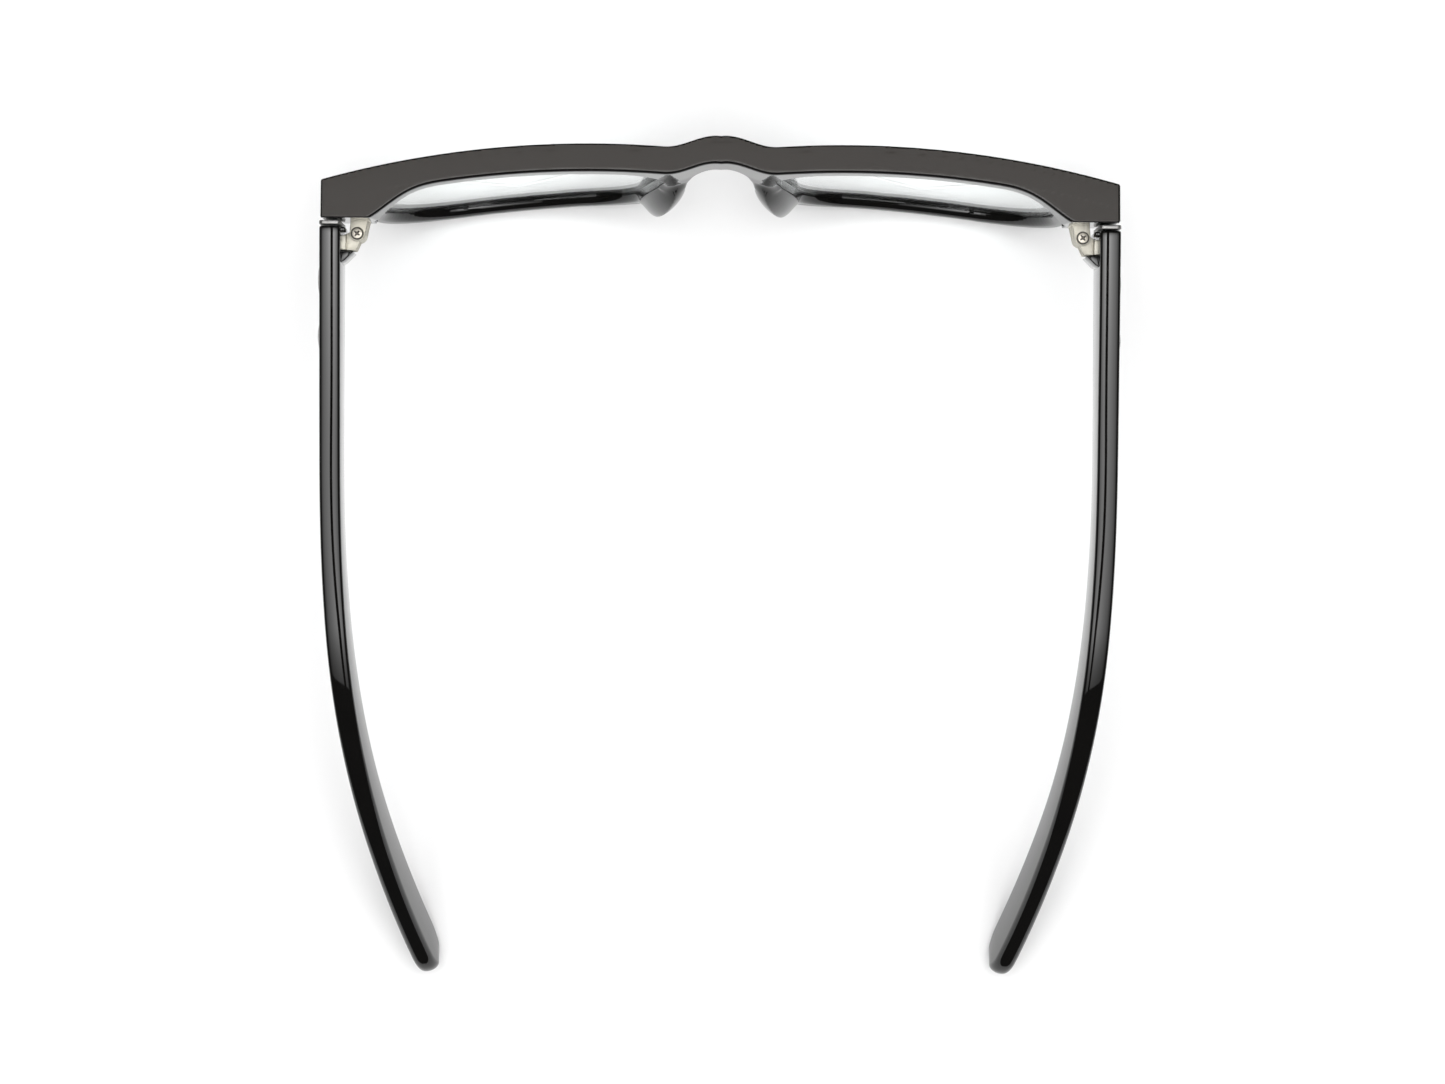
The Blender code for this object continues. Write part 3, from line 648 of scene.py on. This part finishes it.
def make_screw():
    """Hinge screw: a low domed head with a cross recess, and a shank through the whole stack."""
    count = 96
    rings = []
    base = STACK_HIGH + 0.08
    radius = SCREW_HEAD_RADIUS
    for share in np.linspace(0.02, 0.86, 30):
        ring = []
        for angle in np.linspace(0.0, 2 * math.pi, count, endpoint=False):
            turned = angle + math.radians(38.0)
            x = share * radius * math.cos(turned)
            y = share * radius * math.sin(turned)
            top = base + 0.50 - 0.10 * share ** 2 - float(recess(x, y))
            ring.append((share * radius * math.cos(angle), share * radius * math.sin(angle), top))
        rings.append(ring)
    for angle in range(15, 91, 15):
        out = radius * 0.86 + 0.14 * radius * math.sin(math.radians(angle))
        top = base + 0.28 + 0.146 * math.cos(math.radians(angle))
        rings.append([(x, y, top) for x, y in arc(out, 0.0, 360.0 * (count - 1) / count, count - 1)])
    for out, top in ((radius, base + 0.05), (0.6 * radius, base), (0.55, base - 0.1)):
        rings.append([(x, y, top) for x, y in arc(out, 0.0, 360.0 * (count - 1) / count, count - 1)])
    for out, top in ((0.55, STACK_LOW - 0.3), (0.45, STACK_LOW - 0.4)):
        rings.append([(x, y, top) for x, y in arc(out, 0.0, 360.0 * (count - 1) / count, count - 1)])
    return loft(rings, sharp_deg=45.0)


# ---------------------------------------------------------------- materials

class Shader:
    """Node tree of one material, with short calls to add and link its nodes."""

    def __init__(self, name):
        self.material = bpy.data.materials.new(name)
        self.material.use_nodes = True
        self.tree = self.material.node_tree
        self.surface = self.tree.nodes["Principled BSDF"]
        self.output = self.tree.nodes["Material Output"]

    def add(self, kind, inputs=None, **settings):
        """Node of a kind; each input is a number, a colour or another node's output."""
        node = self.tree.nodes.new("ShaderNode" + kind)
        for key, value in settings.items():
            setattr(node, key, value)
        self.feed(node, inputs or {})
        return node

    def feed(self, node, inputs):
        for key, value in inputs.items():
            if isinstance(value, bpy.types.NodeSocket):
                self.tree.links.new(value, node.inputs[key])
            else:
                node.inputs[key].default_value = value

    def noise(self, scale, detail=3.0, stretch=(1.0, 1.0, 1.0)):
        """Noise in object space, its scale in waves per metre."""
        place = self.add("TexCoord").outputs["Object"]
        mapped = self.add("Mapping", {"Vector": place, "Scale": stretch}).outputs["Vector"]
        return self.add("TexNoise", {"Vector": mapped, "Scale": scale, "Detail": detail}).outputs["Fac"]

    def remap(self, value, low, high, to_low, to_high):
        """Value eased from one range to another, clamped."""
        node = self.add("MapRange", {"Value": value, "From Min": low, "From Max": high,
                                     "To Min": to_low, "To Max": to_high})
        return node.outputs["Result"]

    def math(self, operation, first, second):
        return self.add("Math", {0: first, 1: second}, operation=operation).outputs[0]

    def mix(self, share, first, second):
        node = self.add("Mix", {0: share, 6: first, 7: second}, data_type="RGBA")
        return node.outputs[2]

    def bump(self, height, strength, distance):
        inputs = {"Height": height, "Strength": strength, "Distance": distance}
        return self.add("Bump", inputs).outputs["Normal"]


def acetate():
    """Polished black acetate with fine handling marks; the flat top of the brow is satin."""
    shader = Shader("acetate")
    clouds = shader.noise(140.0)
    marks = shader.noise(900.0, 4.0, (1.0, 0.12, 1.0))
    grain = shader.noise(5200.0, 2.0)
    place = shader.add("SeparateXYZ", {0: shader.add("TexCoord").outputs["Object"]})
    facing = shader.add("SeparateXYZ", {0: shader.add("NewGeometry").outputs["Normal"]})
    on_front = shader.remap(place.outputs["Y"], -0.0619, -0.0617, 1.0, 0.0)
    high = shader.remap(place.outputs["Z"], 0.0430, 0.0440, 0.0, 1.0)
    upward = shader.remap(facing.outputs["Z"], 0.965, 0.99, 0.0, 1.0)
    satin = shader.math("MULTIPLY", shader.math("MULTIPLY", on_front, high), upward)
    polish = shader.remap(marks, 0.3, 0.75, 0.020, 0.050)
    polish = shader.math("ADD", polish, shader.remap(clouds, 0.35, 0.7, 0.0, 0.02))
    rough = shader.math("ADD", polish, shader.math("MULTIPLY", satin, 0.30))
    colour = shader.mix(clouds, (0.0018, 0.0017, 0.0016, 1.0), (0.0034, 0.0031, 0.0028, 1.0))
    colour = shader.mix(satin, colour, (0.0235, 0.0200, 0.0172, 1.0))
    relief = shader.math("ADD", shader.math("MULTIPLY", grain, satin), shader.math("MULTIPLY", marks, 0.15))
    shader.feed(shader.surface, {
        "Base Color": colour, "Roughness": rough, "IOR": 1.49,
        "Normal": shader.bump(relief, 0.12, 0.00004),
    })
    return shader.material


def lens_glass():
    """Clear lens with a faint cool anti-reflection tint and very light smears."""
    shader = Shader("lens")
    smear = shader.noise(60.0, 3.0, (1.0, 1.0, 0.35))
    tint = shader.mix(smear, (0.955, 0.985, 0.980, 1.0), (0.970, 0.990, 0.986, 1.0))
    shader.feed(shader.surface, {
        "Base Color": tint, "Transmission Weight": 1.0, "IOR": 1.5,
        "Roughness": shader.remap(smear, 0.55, 0.9, 0.0, 0.004),
        "Specular Tint": (0.80, 1.0, 0.97, 1.0),
    })
    clear = shader.add("BsdfTransparent", {"Color": (0.94, 0.97, 0.97, 1.0)})
    path = shader.add("LightPath")
    pick = shader.add("MixShader", {0: path.outputs["Is Shadow Ray"], 1: shader.surface.outputs[0],
                                    2: clear.outputs[0]})
    shader.tree.links.new(pick.outputs[0], shader.output.inputs["Surface"])
    return shader.material


def screw_gap_shade(shader):
    """Painted shade in the gap round the screw's head and in its cross recess."""
    place = shader.add("SeparateXYZ", {0: shader.add("TexCoord").outputs["Object"]})
    across = shader.math("SUBTRACT", shader.math("ABSOLUTE", place.outputs["X"], 0.0), HINGE.x * MM)
    behind = shader.math("SUBTRACT", place.outputs["Y"], HINGE.y * MM)
    out = shader.add("VectorMath", {0: shader.add("CombineXYZ", {0: across, 1: behind}).outputs[0]},
                     operation="LENGTH").outputs["Value"]
    from_edge = shader.math("ABSOLUTE", shader.math("SUBTRACT", out, (SCREW_HEAD_RADIUS + 0.06) * MM), 0.0)
    ring = shader.remap(from_edge, 0.08 * MM, 0.20 * MM, 1.0, 0.0)
    top = (STACK_HIGH + 0.08) * MM
    sunk = shader.remap(place.outputs["Z"], top + 0.22 * MM, top + 0.40 * MM, 1.0, 0.0)
    inner = shader.remap(out, 0.70 * MM, 0.80 * MM, 1.0, 0.0)
    above = shader.remap(place.outputs["Z"], top - 0.3 * MM, top - 0.1 * MM, 0.0, 1.0)
    # Painted shade: the ring round the head and the cross recess are darkened in the colour, on the top only.
    painted_shade = shader.math("MAXIMUM", ring, shader.math("MULTIPLY", sunk, inner))
    return shader.math("MULTIPLY", painted_shade, above)


def metal(name, dark, light, rough, stretch, brush=2600.0, relief=0.10):
    """Worn metal: brushed grain, tarnish in patches, brighter edges and painted shade round the screw's head
    and in its recess.
    """
    shader = Shader(name)
    lines = shader.noise(brush, 3.0, stretch)
    patches = shader.noise(420.0, 4.0)
    edge = shader.remap(shader.add("NewGeometry").outputs["Pointiness"], 0.50, 0.60, 0.0, 1.0)
    colour = shader.mix(shader.remap(patches, 0.35, 0.65, 0.0, 1.0), (*dark, 1.0), (*light, 1.0))
    worn = (*[min(1.0, c * 1.2) for c in light], 1.0)
    colour = shader.mix(shader.math("MULTIPLY", edge, 0.5), colour, worn)
    # Painted shade colour, mixed in round the screw's head and in its cross recess.
    painted_shade = (0.02, 0.018, 0.015, 1.0)
    colour = shader.mix(shader.math("MULTIPLY", screw_gap_shade(shader), 0.85), colour, painted_shade)
    roughness = shader.math("ADD", shader.remap(lines, 0.3, 0.7, rough - 0.05, rough + 0.05),
                            shader.remap(patches, 0.4, 0.7, 0.0, 0.08))
    shader.feed(shader.surface, {
        "Base Color": colour, "Metallic": 1.0, "Roughness": roughness,
        "Normal": shader.bump(lines, relief, 0.00003),
    })
    return shader.material


LOOKS = {
    "acetate": acetate(),
    "lens": lens_glass(),
    "hinge_metal": metal("hinge_metal", (0.46, 0.435, 0.36), (0.66, 0.635, 0.56), 0.46, (1.0, 1.0, 0.15)),
    "screw_steel": metal("screw_steel", (0.42, 0.39, 0.33), (0.62, 0.58, 0.51), 0.34, (1.0, 1.0, 1.0)),
    "core_steel": metal("core_steel", (0.48, 0.48, 0.48), (0.60, 0.60, 0.60), 0.34, (1.0, 0.06, 1.0)),
    "trim_metal": metal("trim_metal", (0.24, 0.24, 0.235), (0.36, 0.355, 0.345), 0.36, (1.0, 1.0, 0.12)),
}


# ---------------------------------------------------------------- assembly

def dress(name, mesh, slot, body, *nodes):
    """Make a piece that stands for CAD nodes, rides on a body and takes a slot's look."""
    item = new_object(name, mesh)
    item.data.materials.clear()
    item.data.materials.append(LOOKS[slot])
    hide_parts(*nodes)
    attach(item, body)
    return item


to_front = Matrix.Translation((0.0, FRONT_SHIFT_Y, 0.0)) @ Matrix.Rotation(FRONT_TILT, 4, "X")
front_mesh = make_front()
front_mesh.transform(to_front)
dress("acetate_front", front_mesh, "acetate", "frame", "front", "left_nose_pad", "right_nose_pad")

lens_mesh = make_lens()
lens_mesh.transform(to_front)
on_hinge = (
    ("temple", make_temple(), "acetate", True),
    ("end_plate", make_end_plate(), "trim_metal", True),
    ("front_stud", make_front_stud(), "trim_metal", True),
    ("rear_stud", make_rear_stud(), "trim_metal", True),
    ("temple_leaf", make_temple_leaf(), "hinge_metal", True),
    ("front_leaf", make_front_leaf(), "hinge_metal", False),
    ("hinge_screw", make_screw(), "screw_steel", False),
)
for side, sign in SIDES:
    shape = lens_mesh if sign > 0 else mirrored(lens_mesh)
    dress(side + "_clear_lens", shape.copy(), "lens", "frame", side + "_lens")
    for part, mesh, slot, moves in on_hinge:
        shape = mesh.copy() if sign > 0 else mirrored(mesh)
        shape.transform(Matrix.Translation((sign * HINGE.x, HINGE.y, 0.0)))
        body = side + "_temple_arm" if moves else "frame"
        dress(side + "_fine_" + part, shape, slot, body, side + "_" + part)
    core = frame["nodes"][side + "_core_wire"]
    core.data.materials.clear()
    core.data.materials.append(LOOKS["core_steel"])


# ---------------------------------------------------------------- camera, light and table

CAMERA_PLACE = (0.0080, -0.00428, 0.846)
CAMERA_LEAN = math.radians(0.62)
CAMERA_ROLL = math.radians(0.33)
CAMERA_LENS = 110.2
SOFTBOX_PLACE = (0.0, -0.07, 0.95)
SOFTBOX_HALF_SIZE = 0.46
SOFTBOX_GAP = 0.032
SOFTBOX_RADIANCE = 10.6
SOFTBOX_REACH = 0.2
FILL_RADIANCE = 2.2


def add_camera():
    camera = bpy.data.objects.new("camera", bpy.data.cameras.new("camera"))
    camera.data.lens = CAMERA_LENS
    camera.data.sensor_width = 36.0
    camera.data.clip_start = 0.01
    camera.location = CAMERA_PLACE
    turn = Matrix.Rotation(CAMERA_LEAN, 4, "Y") @ Matrix.Rotation(math.pi + CAMERA_ROLL, 4, "Z")
    camera.rotation_euler = turn.to_euler()
    bpy.context.scene.collection.objects.link(camera)
    bpy.context.scene.camera = camera


def flat_square(name, half, material):
    """Square sheet in its own xy plane."""
    mesh = bpy.data.meshes.new(name)
    corners = [(-half, -half, 0.0), (half, -half, 0.0), (half, half, 0.0), (-half, half, 0.0)]
    mesh.from_pydata(corners, [], [(0, 1, 2, 3)])
    mesh.materials.append(material)
    item = bpy.data.objects.new(name, mesh)
    bpy.context.scene.collection.objects.link(item)
    return item


def add_softbox():
    """Overhead softbox, dimmer to its sides and front corners, with a slot for the camera."""
    shader = Shader("softbox")
    place = shader.add("TexCoord").outputs["Object"]
    reach = shader.add("VectorMath", {0: place}, operation="LENGTH").outputs["Value"]
    fall = shader.math("EXPONENT", shader.math("DIVIDE", reach, -SOFTBOX_REACH), 0.0)
    across = shader.math("ABSOLUTE", shader.add("SeparateXYZ", {0: place}).outputs["X"], 0.0)
    slot = shader.remap(across, SOFTBOX_GAP, SOFTBOX_GAP + 0.006, 0.0, 1.0)
    away = shader.remap(shader.add("SeparateXYZ", {0: place}).outputs["Y"], -0.22, -0.10, 1.0, 0.0)
    corner = shader.math("MULTIPLY", away, shader.remap(across, 0.03, 0.17, 0.0, 1.0))
    dimmed = shader.math("ADD", shader.math("MULTIPLY", away, 0.62), shader.math("MULTIPLY", corner, 0.26))
    kept = shader.math("SUBTRACT", 1.0, dimmed)
    shaped = shader.math("MULTIPLY", fall, slot)
    strength = shader.math("MULTIPLY", shaped, shader.math("MULTIPLY", kept, SOFTBOX_RADIANCE))
    glow = shader.add("Emission", {"Strength": strength})
    shader.tree.links.new(glow.outputs[0], shader.output.inputs["Surface"])
    softbox = flat_square("softbox", SOFTBOX_HALF_SIZE, shader.material)
    softbox.location = SOFTBOX_PLACE
    softbox.visible_camera = False
    softbox.visible_shadow = False


def add_fill():
    """Wide soft light from above that reflections don't show."""
    light = bpy.data.lights.new("fill", "AREA")
    light.size = 2.4
    light.energy = math.pi * light.size ** 2 * FILL_RADIANCE
    item = bpy.data.objects.new("fill", light)
    item.location = (0.0, 0.0, 1.5)
    item.visible_glossy = False
    bpy.context.scene.collection.objects.link(item)


def add_table():
    """Wide pale table top."""
    shader = Shader("table")
    colour = shader.mix(shader.noise(30.0), (0.90, 0.90, 0.90, 1.0), (0.92, 0.92, 0.92, 1.0))
    shader.feed(shader.surface, {"Base Color": colour, "Roughness": 0.8, "Specular IOR Level": 0.2})
    table = flat_square("table", 3.0, shader.material)
    table.location = (0.0, 0.0, cad_low[2] - 0.00005)


def add_world():
    """Dim surroundings for reflections, pale where the camera sees past the table."""
    world = bpy.data.worlds.new("studio")
    world.use_nodes = True
    tree = world.node_tree
    background = tree.nodes["Background"]
    path = tree.nodes.new("ShaderNodeLightPath")
    mix = tree.nodes.new("ShaderNodeMix")
    mix.data_type = "RGBA"
    mix.inputs[6].default_value = (0.07, 0.07, 0.07, 1.0)
    mix.inputs[7].default_value = (0.93, 0.93, 0.93, 1.0)
    tree.links.new(path.outputs["Is Camera Ray"], mix.inputs[0])
    tree.links.new(mix.outputs[2], background.inputs["Color"])
    bpy.context.scene.world = world


add_camera()
add_softbox()
add_fill()
add_table()
add_world()
bpy.context.scene.view_settings.view_transform = "Standard"
